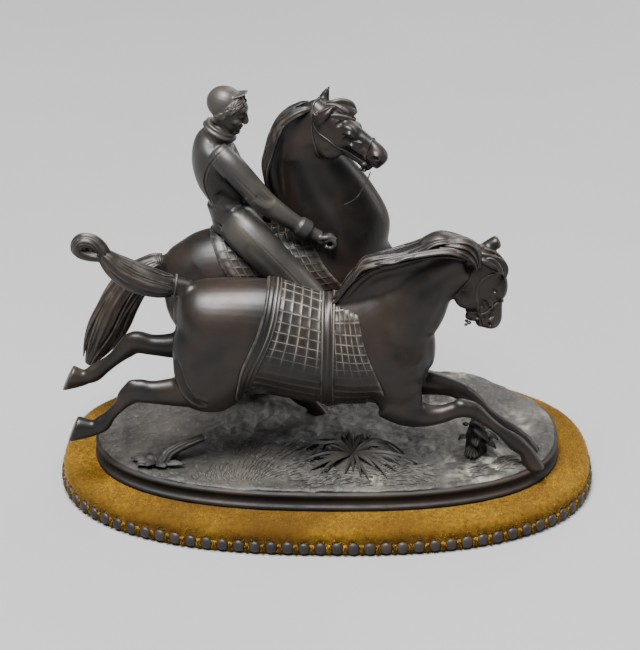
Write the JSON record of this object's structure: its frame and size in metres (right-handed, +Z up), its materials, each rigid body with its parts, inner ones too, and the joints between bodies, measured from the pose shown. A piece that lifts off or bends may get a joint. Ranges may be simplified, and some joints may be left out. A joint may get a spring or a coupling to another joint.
{
  "type": "equestrian statuette",
  "caption": "Cast bronze group of two horses at speed, one of them ridden, on an oval ground with a moulded rim, set on a velvet-covered oval plinth edged with domed tacks.",
  "frame": {"origin": "centre of the plinth's underside", "axes": "+X toward the horses' heads along the long side, +Y away from the viewer, +Z up"},
  "size_m": [0.4052, 0.2462, 0.3016],
  "materials": {
    "bronze": "near-black brown patina over cast bronze, satin, with pale dust in the ground",
    "velvet": "old gold velvet pile with dark domed iron tacks along its foot"
  },
  "bodies": {
    "root": {"bronze_group": "bronze", "velvet_plinth": "velvet"}
  },
  "joints": []
}
